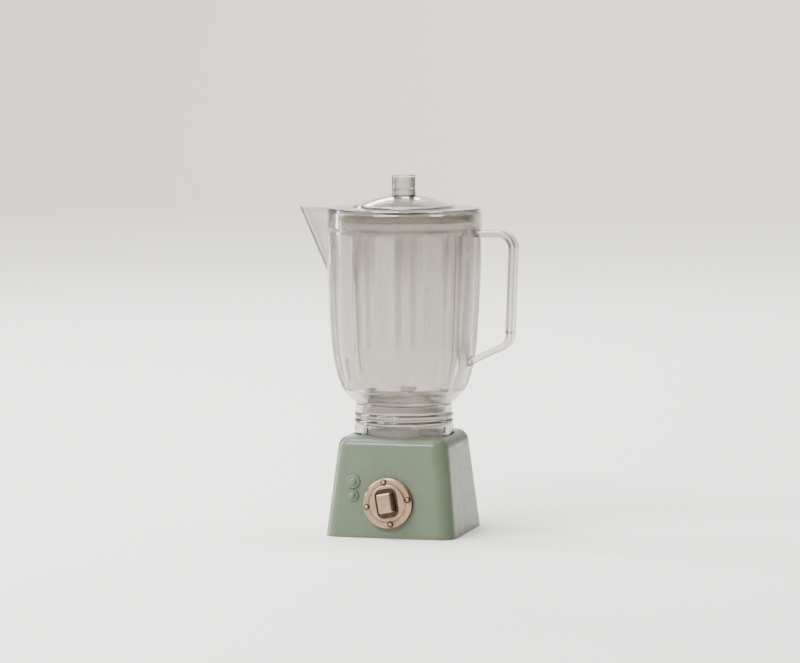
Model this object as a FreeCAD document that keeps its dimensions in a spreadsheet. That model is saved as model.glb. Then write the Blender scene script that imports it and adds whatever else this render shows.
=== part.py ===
import FreeCAD, Part
import math
import os
import re
import Sketcher
from FreeCAD import Placement, Rotation, Vector

# Toy blender: clear fluted jug on a painted metal base with one turning dial.
# Millimetres, +Z up. The origin is the middle of the resting underside.
# The dial faces -Y, the spout points to -X and the handle to +X.

os.makedirs("parts", exist_ok=True)
doc = FreeCAD.newDocument("toy_blender")

# Driving dimensions
SIZES = {
    # painted base
    "base_width": 27.7,
    "base_height": 20.8,
    "side_draft": 6.3,
    "corner_round": 3.2,
    "top_round": 2.5,
    "shell_wall": 1.3,
    "roof_thick": 1.9,
    "seat_depth": 0.6,
    "seat_clearance": 0.15,
    "post_offset": 8.4,
    "post_radius": 1.7,
    "pilot_radius": 0.45,
    "pilot_depth": 5.0,
    "post_sink": 0.4,
    "inner_boss_radius": 3.2,
    "inner_boss_stand": 1.2,
    # cast pips beside the dial
    "upper_pip_across": 7.6,
    "upper_pip_up": 11.6,
    "upper_pip_radius": 1.45,
    "lower_pip_across": 7.6,
    "lower_pip_up": 8.7,
    "lower_pip_radius": 1.2,
    "pip_stand": 0.45,
    "pip_dome_share": 0.52,
    "pip_dome_stand": 0.5,
    # cover plate and screws
    "plate_lift": 0.6,
    "plate_thick": 1.2,
    "plate_clearance": 0.12,
    "screw_shank_radius": 0.4,
    "screw_head_radius": 1.1,
    "screw_proud": 0.48,
    "screw_reach": 3.6,
    "screw_hole_clearance": 0.1,
    "slot_width": 0.36,
    "slot_depth": 0.25,
    # dial
    "dial_up": 7.3,
    "dial_turn": 11.2,
    "dial_radius": 5.2,
    "dial_stand": 1.3,
    "dial_edge": 0.35,
    "plateau_radius": 3.85,
    "plateau_stand": 0.25,
    "recess_width": 4.7,
    "recess_length": 6.1,
    "recess_depth": 0.5,
    "recess_round": 1.5,
    "grip_width": 2.9,
    "grip_length": 4.0,
    "grip_stand": 2.7,
    "grip_round": 0.35,
    "grip_root_flare": 0.3,
    "rivet_ring": 4.42,
    "rivet_radius": 0.5,
    "rivet_stem_radius": 0.3,
    "rivet_stand": 0.38,
    "rivet_sink": 0.7,
    "spindle_radius": 1.2,
    "spindle_clearance": 0.05,
    "groove_radius": 0.85,
    "groove_width": 0.4,
    "tail_length": 0.5,
    "spindle_sink": 0.8,
    "washer_radius": 2.3,
    "washer_thick": 0.3,
    "clip_radius": 2.0,
    "clip_thick": 0.35,
    # collar under the jug
    "collar_radius": 10.1,
    "collar_height": 6.9,
    "collar_bore": 8.9,
    "bead_stand": 0.28,
    "bead_height": 1.15,
    "lower_bead_up": 2.5,
    "bead_gap": 0.2,
    "lug_width": 0.8,
    "lug_stand": 0.35,
    "lug_up": 1.0,
    "lug_height": 1.2,
    "lug_sink": 0.3,
    # jug
    "neck_clearance": 0.02,
    "edge_break": 0.2,
    "rim_break": 0.3,
    "neck_depth": 1.6,
    "floor_thick": 1.2,
    "floor_inset": 2.9,
    "floor_bow": 4.0,
    "heel_inset": 0.9,
    "heel_rise": 1.15,
    "wall_thick": 1.3,
    "foot_radius": 10.3,
    "bowl_radius": 13.0,
    "bowl_height": 30.1,
    "belly_radius": 15.3,
    "belly_height": 40.15,
    "shoulder_radius": 16.1,
    "shoulder_drop": 3.9,
    "band_stand": 0.25,
    "band_drop": 3.2,
    "rim_height": 67.2,
    "bowl_bow": 13.0,
    "belly_bow": 30.0,
    "side_bow": 260.0,
    "flute_depth": 0.58,
    "flute_radius": 14.0,
    "flute_drop": 4.5,
    "flute_fade": 35.6,
    "flute_end": 27.6,
    "flute_bow": 0.1,
    "spout_stand": 6.6,
    "spout_rise": 0.8,
    "spout_drop": 15.6,
    "spout_nose": 1.1,
    "spout_nose_half": 0.88,
    "spout_blunt": 0.5,
    "spout_wall": 0.9,
    "spout_inset": 4.7,
    "spout_foot_inset": 2.7,
    "spout_foot_spread": 2.6,
    "spout_foot_stand": 0.75,
    "channel_inset": 7.1,
    "channel_foot_spread": 2.2,
    "channel_foot_stand": 2.4,
    "channel_half": 0.35,
    "channel_nose": 0.5,
    # handle
    "handle_width": 4.2,
    "handle_thick": 1.5,
    "handle_stand": 8.1,
    "handle_lean": 0.6,
    "handle_sink": 0.95,
    "handle_drop": 3.7,
    "handle_bottom": 35.6,
    "handle_rise": 3.2,
    "handle_bend": 3.8,
    "handle_edge": 0.4,
    # lid
    "flange_inset": 0.35,
    "flange_thick": 0.7,
    "step_radius": 10.5,
    "step_height": 1.3,
    "dome_rise": 2.0,
    "lid_wall": 1.0,
    "plug_depth": 2.0,
    "plug_clearance": 0.3,
    "knob_radius": 2.55,
    "knob_height": 4.3,
    "knob_edge": 0.45,
    "knob_peg_radius": 1.2,
    "knob_groove_up": 1.12,
    "knob_groove_height": 0.26,
    "knob_groove_depth": 0.12,
    "flange_rise": 0.1,
    "step_slope": 0.5,
    "dome_inset": 1.0,
    "dome_bow": 24.0,
    "knob_seat_stand": 0.2,
}
FLUTES = 10
RIVETS = 4
GRIP_TAPER = 3.0

sheet = doc.addObject("Spreadsheet::Sheet", "Sizes")
for row, (alias, value) in enumerate(SIZES.items(), start=1):
    sheet.set("A%d" % row, alias.replace("_", " "))
    sheet.set("B%d" % row, repr(value))
    sheet.setAlias("B%d" % row, alias)
doc.recompute()

ALIAS = re.compile(r"\b(%s)\b" % "|".join(SIZES))


def bound(text):
    """Expression text with every size name pointing at the sheet."""
    return ALIAS.sub(r"Sizes.\1", text)


def number(text):
    """Present value of an expression over the sizes."""
    return float(sheet.evalExpression(bound(text)))


def new_body(label):
    body = doc.addObject("PartDesign::Body", label)
    body.Label = label
    return body


def origin_item(body, role):
    """Plane or axis of a body's origin."""
    for item in body.Origin.OriginFeatures:
        if item.Role == role:
            return item
    raise ValueError("no origin item " + role)


def new_sketch(body, name, role="XZ_Plane", lift=None, across=None, tilt=None):
    """Sketch on an origin plane, lifted along its normal or tilted onto the front face."""
    sketch = doc.addObject("Sketcher::SketchObject", name)
    body.addObject(sketch)
    sketch.AttachmentSupport = (origin_item(body, role), "")
    sketch.MapMode = "FlatFace"
    if tilt is not None:
        sketch.AttachmentOffset = Placement(Vector(0, 0, 0), Rotation(Vector(1, 0, 0), 45))
        sketch.setExpression(".AttachmentOffset.Rotation.Angle", bound(tilt))
    if across is not None:
        sketch.setExpression(".AttachmentOffset.Base.y", bound(across))
    if lift is not None:
        sketch.setExpression(".AttachmentOffset.Base.z", bound(lift))
    doc.recompute()
    return sketch


def pin(sketch, geometry, point, axis, text):
    """Hold one coordinate of a point at an expression, or on the axis where it is nought."""
    value = number(text)
    if abs(value) < 1e-9:
        line = -2 if axis == "X" else -1
        sketch.addConstraint(Sketcher.Constraint("PointOnObject", geometry, point, line))
        return
    index = sketch.addConstraint(
        Sketcher.Constraint("Distance" + axis, -1, 1, geometry, point, value))
    sketch.setExpression("Constraints[%d]" % index, bound(text))


def outline(sketch, corners):
    """Closed outline. A corner is (x, y) or (x, y, bow), where bow is the radius of the arc
    to the next corner, positive when the arc bulges to the right of the way along."""
    places = [Vector(number(c[0]), number(c[1]), 0) for c in corners]
    ends = []
    for index, corner in enumerate(corners):
        here = places[index]
        there = places[(index + 1) % len(corners)]
        if len(corner) == 2:
            geometry = sketch.addGeometry(Part.LineSegment(here, there), False)
            ends.append((geometry, 1, 2))
            continue
        bow = number(corner[2])
        chord = there - here
        right = Vector(chord.y, -chord.x, 0).normalize() * math.copysign(1, bow)
        sag = abs(bow) - math.sqrt(bow * bow - chord.Length ** 2 / 4)
        arc = Part.Arc(here, (here + there) / 2 + right * sag, there)
        geometry = sketch.addGeometry(arc, False)
        start_first = sketch.getPoint(geometry, 1).distanceToPoint(here) < 1e-6
        ends.append((geometry, 1, 2) if start_first else (geometry, 2, 1))
    for index, (geometry, first, last) in enumerate(ends):
        follower, follower_first, _ = ends[(index + 1) % len(ends)]
        sketch.addConstraint(
            Sketcher.Constraint("Coincident", geometry, last, follower, follower_first))
    for index, (geometry, first, last) in enumerate(ends):
        pin(sketch, geometry, first, "X", corners[index][0])
        pin(sketch, geometry, first, "Y", corners[index][1])
    for index, corner in enumerate(corners):
        if len(corner) > 2:
            text = corner[2].lstrip("-")
            held = sketch.addConstraint(
                Sketcher.Constraint("Radius", ends[index][0], number(text)))
            sketch.setExpression("Constraints[%d]" % held, bound(text))
    doc.recompute()
    return sketch


def rectangle(sketch, width, depth):
    """Rectangle centred on the sketch origin."""
    left = "-(%s) / 2" % width
    right = "(%s) / 2" % width
    low = "-(%s) / 2" % depth
    high = "(%s) / 2" % depth
    return outline(sketch, [(left, low), (right, low), (right, high), (left, high)])


def rounded_rectangle(sketch, half_across, half_up, corner):
    """Rectangle centred on the sketch origin, with rounded corners."""
    near_x = "(%s - (%s))" % (half_across, corner)
    near_y = "(%s - (%s))" % (half_up, corner)
    return outline(sketch, [
        ("-" + near_x, "-(%s)" % half_up), (near_x, "-(%s)" % half_up, corner),
        (half_across, "-" + near_y), (half_across, near_y, corner),
        (near_x, half_up), ("-" + near_x, half_up, corner),
        ("-(%s)" % half_across, near_y), ("-(%s)" % half_across, "-" + near_y, corner)])


def checked(made):
    """Stop at once where a feature has no good shape."""
    doc.recompute()
    if made.Shape.isNull() or "Invalid" in made.State or "Error" in made.State:
        raise ValueError("no good shape for " + made.Name)
    return made


def circle(sketch, across, up, radius):
    geometry = sketch.addGeometry(
        Part.Circle(Vector(number(across), number(up), 0), Vector(0, 0, 1), number(radius)), False)
    pin(sketch, geometry, 3, "X", across)
    pin(sketch, geometry, 3, "Y", up)
    held = sketch.addConstraint(Sketcher.Constraint("Radius", geometry, number(radius)))
    sketch.setExpression("Constraints[%d]" % held, bound(radius))
    doc.recompute()
    return sketch


def feature(body, kind, name, sketch, **settings):
    made = body.newObject("PartDesign::" + kind, name)
    made.Profile = sketch
    for key, value in settings.items():
        if isinstance(value, str) and key in ("Length", "Length2", "Angle"):
            made.setExpression(key, bound(value))
        else:
            setattr(made, key, value)
    sketch.Visibility = False
    return checked(made)


def turned(body, kind, name, sketch):
    """Revolution or groove about the sketch's vertical axis."""
    return feature(body, kind, name, sketch, ReferenceAxis=(sketch, ["V_Axis"]), Angle="360")


def edge_names(shape, wanted):
    return ["Edge%d" % (i + 1) for i, edge in enumerate(shape.Edges) if wanted(edge)]


def face_names(shape, wanted):
    return ["Face%d" % (i + 1) for i, face in enumerate(shape.Faces) if wanted(face)]


def rounded(body, name, base, wanted, radius):
    names = edge_names(base.Shape, wanted)
    if not names:
        raise ValueError("no edges for " + name)
    fillet = body.newObject("PartDesign::Fillet", name)
    fillet.Base = (base, names)
    fillet.setExpression("Radius", bound(radius))
    return checked(fillet)


def polar(body, name, originals, count):
    pattern = body.newObject("PartDesign::PolarPattern", name)
    pattern.Originals = originals
    pattern.Axis = (origin_item(body, "Z_Axis"), [""])
    pattern.Angle = 360
    pattern.Occurrences = count
    body.Tip = pattern
    return checked(pattern)


def upright(edge):
    """Edge that runs mostly up the sides."""
    if edge.Curve.TypeId != "Part::GeomLine":
        return False
    way = edge.tangentAt(edge.FirstParameter)
    return abs(way.z) > 0.9


def at_height(edge, height, slack=0.01):
    box = edge.BoundBox
    return abs(box.ZMin - height) < slack and abs(box.ZMax - height) < slack


# Places shared by several pieces
front_reach = "(base_width / 2 - dial_up * tan(side_draft))"
dial_place = (
    "placement(vector(0; -%s; dial_up); rotation(vector(1; 0; 0); 90 - side_draft)"
    " * rotation(vector(0; 0; 1); dial_turn))" % front_reach)
face_place = (
    "placement(vector(0; -%s; dial_up); rotation(vector(1; 0; 0); 90 - side_draft))" % front_reach)
seat_height = "(base_height - seat_depth)"
collar_top = "(base_height - seat_depth + collar_height)"
band_radius = "(shoulder_radius + band_stand)"
flange_radius = "(shoulder_radius + band_stand - flange_inset)"
spout_reach = "(shoulder_radius + spout_stand)"
handle_reach = "(shoulder_radius + handle_stand)"
belly_middle = "((bowl_radius + belly_radius) / 2)"
shoulder_height = "(rim_height - shoulder_drop)"
band_height = "(rim_height - band_drop)"
flute_top = "(rim_height - flute_drop)"
spout_foot = "(rim_height - spout_drop)"
handle_top = "(rim_height - handle_drop)"

# Base housing: tapered square shell with a cast seat, posts and a bearing for the dial
housing = new_body("base_housing")
block_sketch = rectangle(new_sketch(housing, "housing_outline", "XY_Plane"), "base_width", "base_width")
block = feature(housing, "Pad", "housing_block", block_sketch, Length="base_height")
tapered = housing.newObject("PartDesign::Draft", "housing_taper")
tapered.Base = (block, face_names(block.Shape, lambda f: abs(f.normalAt(0, 0).z) < 0.5))
tapered.NeutralPlane = (origin_item(housing, "XY_Plane"), [""])
tapered.Reversed = False
tapered.setExpression("Angle", bound("side_draft"))
doc.recompute()
if tapered.Shape.BoundBox.XLength > number("base_width") + 0.01 or tapered.Shape.Volume > block.Shape.Volume:
    tapered.Reversed = True
    doc.recompute()
corners = rounded(housing, "housing_corners", tapered, upright, "corner_round")
top_edges = rounded(
    housing, "housing_top_edge", corners,
    lambda e: at_height(e, number("base_height")), "top_round")

hollow_low = "(base_width / 2 - shell_wall)"
hollow_high = "(base_width / 2 - shell_wall - (base_height - roof_thick) * tan(side_draft))"
low_hollow = rounded_rectangle(
    new_sketch(housing, "hollow_low", "XY_Plane"), hollow_low, hollow_low,
    "corner_round - shell_wall")
high_hollow = rounded_rectangle(
    new_sketch(housing, "hollow_high", "XY_Plane", lift="base_height - roof_thick"),
    hollow_high, hollow_high, "corner_round - shell_wall")
hollow = housing.newObject("PartDesign::SubtractiveLoft", "housing_hollow")
hollow.Profile = low_hollow
hollow.Sections = [high_hollow]
hollow.Ruled = True
checked(hollow)

posts_sketch = new_sketch(housing, "posts_outline", "XY_Plane", lift="plate_lift + plate_thick")
pilot_sketch = new_sketch(housing, "pilots_outline", "XY_Plane", lift="plate_lift + plate_thick")
for side in ("", "-"):
    for end in ("", "-"):
        circle(posts_sketch, side + "post_offset", end + "post_offset", "post_radius")
        circle(pilot_sketch, side + "post_offset", end + "post_offset", "pilot_radius")
posts = feature(
    housing, "Pad", "screw_posts", posts_sketch,
    Length="base_height - roof_thick - plate_lift - plate_thick + post_sink")
boss_sketch = circle(
    new_sketch(housing, "bearing_outline", "XY_Plane", tilt="90 - side_draft",
               across="-" + front_reach, lift="dial_up"),
    "0", "0", "inner_boss_radius")
boss = feature(
    housing, "Pad", "dial_bearing", boss_sketch, Length="shell_wall + inner_boss_stand", Reversed=True)
bore_sketch = circle(
    new_sketch(housing, "bore_outline", "XY_Plane", tilt="90 - side_draft",
               across="-" + front_reach, lift="dial_up"),
    "0", "0", "spindle_radius + spindle_clearance")
bore = feature(
    housing, "Pocket", "dial_bore", bore_sketch, Length="shell_wall + inner_boss_stand + 1", Reversed=False)
pilots = feature(housing, "Pocket", "screw_pilots", pilot_sketch, Length="pilot_depth", Reversed=True)
seat_sketch = circle(
    new_sketch(housing, "seat_outline", "XY_Plane", lift="base_height"),
    "0", "0", "collar_radius + lug_stand + seat_clearance")
seat = feature(housing, "Pocket", "collar_seat", seat_sketch, Length="seat_depth")


def stand_off(point):
    """How far a point stands out of the sloping front."""
    lean = math.radians(number("side_draft"))
    start = Vector(0, -number(front_reach), number("dial_up"))
    return (point - start).dot(Vector(0, -math.cos(lean), math.sin(lean)))


def ring_edge(radius, height):
    """Test for a round edge of one radius at one height out of the front."""
    return lambda e: (
        e.Curve.TypeId == "Part::GeomCircle"
        and abs(e.Curve.Radius - number(radius)) < 1e-4
        and abs(stand_off(e.Curve.Center) - number(height)) < 1e-4)


def front_circle(name, across, up, radius):
    sketch = new_sketch(
        housing, name, "XY_Plane", tilt="90 - side_draft", across="-" + front_reach, lift="dial_up")
    return circle(sketch, across, up, radius)


def pip(name, across, up, radius):
    """Round boss with a small dome, cast on the sloping front."""
    spot = "(%s - dial_up) / cos(side_draft)" % up
    dome_radius = "%s * pip_dome_share" % radius
    dome_height = "pip_stand + pip_dome_stand"
    ring = front_circle(name + "_ring", "-%s" % across, spot, radius)
    ring_pad = feature(housing, "Pad", name + "_boss", ring, Length="pip_stand")
    rounded(housing, name + "_soft", ring_pad, ring_edge(radius, "pip_stand"), "pip_stand * 0.7")
    dome = front_circle(name + "_dome", "-%s" % across, spot, dome_radius)
    dome_pad = feature(housing, "Pad", name + "_cap", dome, Length=dome_height)
    rounded(housing, name + "_round", dome_pad, ring_edge(dome_radius, dome_height),
            "pip_dome_stand * 0.9")


pip("upper_pip", "upper_pip_across", "upper_pip_up", "upper_pip_radius")
pip("lower_pip", "lower_pip_across", "lower_pip_up", "lower_pip_radius")

# Cover plate that closes the underside
plate = new_body("base_plate")
plate_inset = "(shell_wall + (plate_lift + plate_thick) * tan(side_draft) + plate_clearance)"
plate_width = "(base_width - 2 * %s)" % plate_inset
plate_block = feature(
    plate, "Pad", "plate_block",
    rectangle(new_sketch(plate, "plate_outline", "XY_Plane", lift="plate_lift"), plate_width, plate_width),
    Length="plate_thick")
plate_corners = rounded(plate, "plate_corners", plate_block, upright, "corner_round - shell_wall")
plate_holes = new_sketch(plate, "plate_holes", "XY_Plane", lift="plate_lift")
for side in ("", "-"):
    for end in ("", "-"):
        circle(plate_holes, side + "post_offset", end + "post_offset",
               "screw_shank_radius + screw_hole_clearance")
feature(plate, "Pocket", "screw_holes", plate_holes, Length="plate_thick", Reversed=True)


# Screws: one turned screw, copied to the four posts
def screw_shape():
    """Pan head below the plate, shank up through it, slot across the head."""
    head = doc.addObject("Part::Cylinder", "screw_head")
    head.setExpression("Radius", bound("screw_head_radius"))
    head.setExpression("Height", bound("screw_proud"))
    head.setExpression(".Placement.Base.z", bound("plate_lift - screw_proud"))
    shank = doc.addObject("Part::Cylinder", "screw_shank")
    shank.setExpression("Radius", bound("screw_shank_radius"))
    shank.setExpression("Height", bound("screw_reach + screw_proud / 2"))
    shank.setExpression(".Placement.Base.z", bound("plate_lift - screw_proud / 2"))
    joined = doc.addObject("Part::Fuse", "screw_blank")
    joined.Base = head
    joined.Tool = shank
    slot = doc.addObject("Part::Box", "screw_slot")
    slot.setExpression("Length", bound("screw_head_radius * 3"))
    slot.setExpression("Width", bound("slot_width"))
    slot.setExpression("Height", bound("slot_depth"))
    slot.setExpression(".Placement.Base.x", bound("-screw_head_radius * 1.5"))
    slot.setExpression(".Placement.Base.y", bound("-slot_width / 2"))
    slot.setExpression(".Placement.Base.z", bound("plate_lift - screw_proud"))
    slotted = doc.addObject("Part::Cut", "screw")
    slotted.Base = joined
    slotted.Tool = slot
    doc.recompute()
    return slotted


one_screw = screw_shape()
screw_places = []
for index, (side, end) in enumerate((("", ""), ("-", ""), ("", "-"), ("-", "-"))):
    copy = doc.addObject("App::Link", "screw_link_%d" % (index + 1))
    copy.LinkedObject = one_screw
    copy.setExpression(".Placement.Base.x", bound(side + "post_offset"))
    copy.setExpression(".Placement.Base.y", bound(end + "post_offset"))
    screw_places.append(copy)
screws = doc.addObject("Part::Compound", "plate_screws")
screws.Label = "plate_screws"
screws.Links = screw_places
doc.recompute()

# Dial pieces, drawn in the dial's own frame: Z along its axis, outward
disc = new_body("dial_disc")
disc.setExpression("Placement", bound(dial_place))
disc_profile = outline(new_sketch(disc, "disc_profile"), [
    ("0", "0"),
    ("dial_radius", "0"),
    ("dial_radius", "dial_stand - dial_edge"),
    ("dial_radius - dial_edge", "dial_stand"),
    ("plateau_radius", "dial_stand"),
    ("plateau_radius - plateau_stand", "dial_stand + plateau_stand"),
    ("0", "dial_stand + plateau_stand"),
])
disc_solid = turned(disc, "Revolution", "disc_turned", disc_profile)
recess_sketch = rounded_rectangle(
    new_sketch(disc, "recess_outline", "XY_Plane", lift="dial_stand + plateau_stand"),
    "recess_width / 2", "recess_length / 2", "recess_round")
recess = feature(disc, "Pocket", "grip_recess", recess_sketch, Length="recess_depth")
spindle_hole = circle(
    new_sketch(disc, "spindle_seat_outline", "XY_Plane"), "0", "0", "spindle_radius")
feature(disc, "Pocket", "spindle_seat", spindle_hole, Length="spindle_sink", Reversed=True)
rivet_hole = circle(
    new_sketch(disc, "rivet_hole_outline", "XY_Plane", lift="dial_stand"),
    "0", "rivet_ring", "rivet_stem_radius")
rivet_pocket = feature(disc, "Pocket", "rivet_hole", rivet_hole, Length="rivet_sink")
polar(disc, "rivet_holes", [rivet_pocket], RIVETS)

grip = new_body("dial_grip")
grip.setExpression("Placement", bound(dial_place))
recess_floor = "(dial_stand + plateau_stand - recess_depth)"
grip_sketch = rectangle(
    new_sketch(grip, "grip_outline", "XY_Plane", lift=recess_floor),
    "grip_width + grip_root_flare", "grip_length + grip_root_flare")
grip_pad = feature(
    grip, "Pad", "grip_block", grip_sketch,
    Length="grip_stand", TaperAngle=-GRIP_TAPER)
if grip_pad.Shape.BoundBox.XLength > number("grip_width + grip_root_flare") + 0.01:
    grip_pad.TaperAngle = -grip_pad.TaperAngle
    doc.recompute()
grip_top = "%s + grip_stand" % recess_floor
rounded(grip, "grip_edges", grip_pad,
        lambda e: e.BoundBox.ZMax > number(grip_top) - 0.01, "grip_round")

rivet = new_body("rivet")
rivet_profile = outline(new_sketch(rivet, "rivet_profile"), [
    ("0", "dial_stand - rivet_sink"),
    ("rivet_stem_radius", "dial_stand - rivet_sink"),
    ("rivet_stem_radius", "dial_stand"),
    ("rivet_radius", "dial_stand", "(rivet_radius^2 + rivet_stand^2) / (2 * rivet_stand)"),
    ("0", "dial_stand + rivet_stand"),
])
turned(rivet, "Revolution", "rivet_turned", rivet_profile)
rivet_links = []
for index in range(RIVETS):
    link = doc.addObject("App::Link", "rivet_link_%d" % (index + 1))
    link.LinkedObject = rivet
    turn = "%d * 360 / %d" % (index, RIVETS)
    link.setExpression("Placement", bound(
        "%s * placement(vector(-rivet_ring * sin(%s); rivet_ring * cos(%s); 0);"
        " rotation(vector(0; 0; 1); %s))" % (dial_place, turn, turn, turn)))
    rivet_links.append(link)
rivets = doc.addObject("Part::Compound", "dial_rivets")
rivets.Label = "dial_rivets"
rivets.Links = rivet_links
doc.recompute()

inner_reach = "(shell_wall + inner_boss_stand)"
groove_start = "(%s + washer_thick)" % inner_reach
spindle = new_body("dial_spindle")
spindle.setExpression("Placement", bound(dial_place))
turned(spindle, "Revolution", "spindle_turned", outline(new_sketch(spindle, "spindle_profile"), [
    ("0", "spindle_sink"),
    ("0", "-%s - groove_width - tail_length" % groove_start),
    ("spindle_radius - edge_break", "-%s - groove_width - tail_length" % groove_start),
    ("spindle_radius", "-%s - groove_width - tail_length + edge_break" % groove_start),
    ("spindle_radius", "-%s - groove_width" % groove_start),
    ("groove_radius", "-%s - groove_width" % groove_start),
    ("groove_radius", "-%s" % groove_start),
    ("spindle_radius", "-%s" % groove_start),
    ("spindle_radius", "spindle_sink"),
]))

washer = new_body("dial_washer")
washer.setExpression("Placement", bound(face_place))
turned(washer, "Revolution", "washer_turned", outline(new_sketch(washer, "washer_profile"), [
    ("spindle_radius + spindle_clearance", "-%s" % groove_start),
    ("washer_radius", "-%s" % groove_start),
    ("washer_radius", "-%s" % inner_reach),
    ("spindle_radius + spindle_clearance", "-%s" % inner_reach),
]))

clip = new_body("dial_clip")
clip.setExpression("Placement", bound(dial_place))
turned(clip, "Revolution", "clip_turned", outline(new_sketch(clip, "clip_profile"), [
    ("groove_radius", "-%s - clip_thick" % groove_start),
    ("clip_radius", "-%s - clip_thick" % groove_start),
    ("clip_radius", "-%s" % groove_start),
    ("groove_radius", "-%s" % groove_start),
]))
clip_gap = rectangle(
    new_sketch(clip, "clip_gap_outline", "XY_Plane", lift="-%s - clip_thick" % groove_start,
               across="clip_radius"),
    "groove_radius * 1.5", "2 * clip_radius")
feature(clip, "Pocket", "clip_gap", clip_gap, Length="clip_thick", Reversed=True)

# Collar: clear ring with two rounded beads and small lugs
collar = new_body("jug_collar")
bead_bow = "(bead_height^2 / 4 + bead_stand^2) / (2 * bead_stand)"
first_bead = "%s + lower_bead_up" % seat_height
second_bead = "%s + lower_bead_up + bead_height + bead_gap" % seat_height
collar_profile = outline(new_sketch(collar, "collar_profile"), [
    ("collar_bore", seat_height),
    ("collar_radius", seat_height),
    ("collar_radius", first_bead, bead_bow),
    ("collar_radius", first_bead + " + bead_height"),
    ("collar_radius", second_bead, bead_bow),
    ("collar_radius", second_bead + " + bead_height"),
    ("collar_radius", collar_top + " - edge_break"),
    ("collar_radius - edge_break", collar_top),
    ("collar_bore", collar_top),
])
turned(collar, "Revolution", "collar_turned", collar_profile)
lug_sketch = rectangle(
    new_sketch(collar, "lug_outline", "XY_Plane", lift=seat_height + " + lug_up",
               across="lug_sink - collar_radius"),
    "lug_width", "2 * (lug_stand + lug_sink)")
lug = feature(collar, "Pad", "lug", lug_sketch, Length="lug_height")
polar(collar, "lugs", [lug], FLUTES)

# Jug: turned body, ten flutes, spout, then hollowed
jug = new_body("jug_body")
neck_radius = "(collar_bore - neck_clearance)"
jug_profile = outline(new_sketch(jug, "jug_profile"), [
    ("0", collar_top + " - neck_depth"),
    (neck_radius, collar_top + " - neck_depth"),
    (neck_radius, collar_top),
    ("foot_radius - edge_break", collar_top),
    ("foot_radius", collar_top + " + edge_break", "bowl_bow"),
    ("bowl_radius", "bowl_height", "belly_bow"),
    ("belly_radius", "belly_height", "side_bow"),
    ("shoulder_radius", shoulder_height),
    (band_radius, band_height),
    (band_radius, "rim_height - rim_break"),
    (band_radius + " - rim_break", "rim_height"),
    ("0", "rim_height"),
])
turned(jug, "Revolution", "jug_turned", jug_profile)


def belly_point(height):
    """Radius and lean of the belly arc at a height."""
    low = Vector(number("bowl_radius"), number("bowl_height"), 0)
    high = Vector(number("belly_radius"), number("belly_height"), 0)
    bow = number("belly_bow")
    chord = high - low
    middle = (high + low) / 2
    inward = Vector(-chord.y, chord.x, 0).normalize()
    centre = middle + inward * math.sqrt(bow * bow - chord.Length ** 2 / 4)
    rise = height - centre.y
    reach = math.sqrt(bow * bow - rise * rise)
    return centre, centre.x + reach, math.atan2(rise, reach)


# Path of the flute cutter's middle: down the side, round the belly, then straight off it
centre, fade_radius, fade_angle = belly_point(number("flute_fade"))
_, _, top_angle = belly_point(number("belly_height"))
offset = number("flute_radius - flute_depth")
path_bow = number("belly_bow") + offset
path_top_x = centre.x + path_bow * math.cos(top_angle)
path_top_y = centre.y + path_bow * math.sin(top_angle)
path_fade_x = centre.x + path_bow * math.cos(fade_angle)
path_fade_y = centre.y + path_bow * math.sin(fade_angle)
side_lean = (number("shoulder_radius") - number("belly_radius")) / (
    number(shoulder_height) - number("belly_height"))
start_x = number("belly_radius") + offset + side_lean * (number(flute_top) - number("belly_height"))
down = Vector(math.sin(fade_angle), -math.cos(fade_angle), 0)
run = (path_fade_y - number("flute_end")) / math.cos(fade_angle)
half_way = (top_angle + fade_angle) / 2
path_places = [
    Vector(start_x, number(flute_top), 0),
    Vector((start_x + path_top_x) / 2 + number("flute_bow"), (number(flute_top) + path_top_y) / 2, 0),
    Vector(path_top_x, path_top_y, 0),
    Vector(centre.x + path_bow * math.cos(half_way), centre.y + path_bow * math.sin(half_way), 0),
    Vector(path_fade_x, path_fade_y, 0),
    Vector(path_fade_x + down.x * run / 2, path_fade_y + down.y * run / 2, 0),
    Vector(path_fade_x + down.x * run, path_fade_y + down.y * run, 0),
]
flute_curve = Part.BSplineCurve()
flute_curve.interpolate(path_places)
path = new_sketch(jug, "flute_path")
path.addGeometry(flute_curve, False)
flute_sketch = circle(
    new_sketch(jug, "flute_outline", "XY_Plane", lift=flute_top),
    repr(start_x), "0", "flute_radius")
flute = jug.newObject("PartDesign::SubtractivePipe", "flute")
flute.Profile = flute_sketch
flute.Spine = (path, [])
checked(flute)
polar(jug, "flutes", [flute], FLUTES)


def spout_section(name, lift, join, spread, nose, nose_half, bow):
    """V-shaped section with a rounded nose, pointing to -X."""
    return outline(new_sketch(jug, name, "XY_Plane", lift=lift), [
        ("-(%s)" % join, "-(%s)" % spread),
        ("-(%s)" % join, spread),
        ("-(%s)" % nose, nose_half, bow),
        ("-(%s)" % nose, "-(%s)" % nose_half)])


def lofted(body, kind, name, low, high):
    made = body.newObject("PartDesign::" + kind, name)
    made.Profile = low
    made.Sections = [high]
    made.Ruled = True
    return checked(made)


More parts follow.
